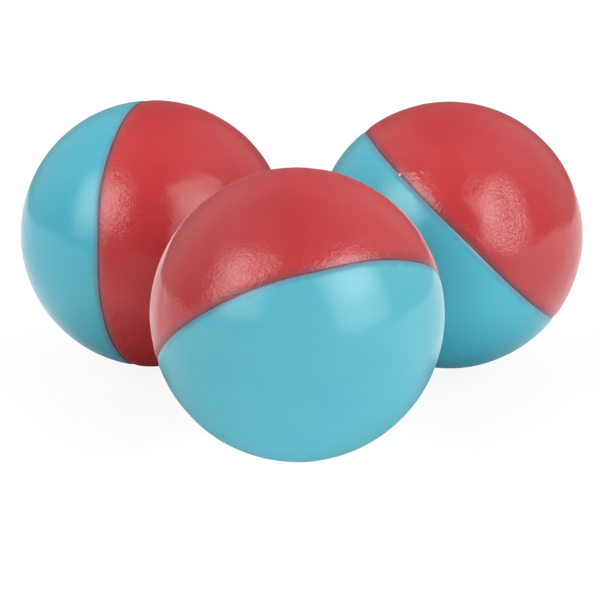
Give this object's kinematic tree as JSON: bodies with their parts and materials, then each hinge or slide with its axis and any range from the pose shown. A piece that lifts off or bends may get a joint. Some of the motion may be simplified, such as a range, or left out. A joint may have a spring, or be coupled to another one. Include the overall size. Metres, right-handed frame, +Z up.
{
  "type": "paintball set",
  "caption": "Set of two-tone gelatin balls, each a red and a turquoise shell welded along one seam round a liquid fill; they roll, burst on impact and mark the target.",
  "frame": {"origin": "on the surface that the balls stand on, under the middle of the set's bounding box", "axes": "+Z up; +X to the right along the row of the two rear balls; +Y back, away from the front ball"},
  "size_m": [0.0364, 0.032, 0.0173],
  "materials": {
    "red_gelatin": "gloss",
    "turquoise_gelatin": "gloss",
    "fused_gelatin": "satin",
    "paint_fill": "gloss"
  },
  "bodies": {
    "front_ball": {"front_red_shell": "red_gelatin", "front_turquoise_shell": "turquoise_gelatin", "front_seam_weld": "fused_gelatin", "front_paint_fill": "paint_fill"},
    "left_fill": {"left_paint_fill": "paint_fill"},
    "left_skin": {"left_red_shell": "red_gelatin", "left_turquoise_shell": "turquoise_gelatin", "left_seam_weld": "fused_gelatin"},
    "right_fill": {"right_paint_fill": "paint_fill"},
    "right_skin": {"right_red_shell": "red_gelatin", "right_turquoise_shell": "turquoise_gelatin", "right_seam_weld": "fused_gelatin"}
  },
  "joints": [
    {"name": "left_ball_travel", "type": "slide", "parent": "front_ball", "child": "left_fill", "axis": [-0.5314, 0.8471, 0], "range_m": [0, 0.06]},
    {"name": "left_ball_roll", "type": "hinge", "parent": "left_fill", "child": "left_skin", "pos_m": [-0.00951, 0.00737, 0.00865], "axis": [-0.8471, -0.5314, 0], "range_deg": [0, 398]},
    {"name": "right_ball_travel", "type": "slide", "parent": "front_ball", "child": "right_fill", "axis": [0.5621, 0.8271, 0], "range_m": [0, 0.06]},
    {"name": "right_ball_roll", "type": "hinge", "parent": "right_fill", "child": "right_skin", "pos_m": [0.00951, 0.00702, 0.00865], "axis": [-0.8271, 0.5621, 0], "range_deg": [0, 398]}
  ],
  "couplings": [
    {"joint": "left_ball_roll", "follows": "left_ball_travel", "rad_per_m": 115.61},
    {"joint": "right_ball_roll", "follows": "right_ball_travel", "rad_per_m": 115.61}
  ]
}
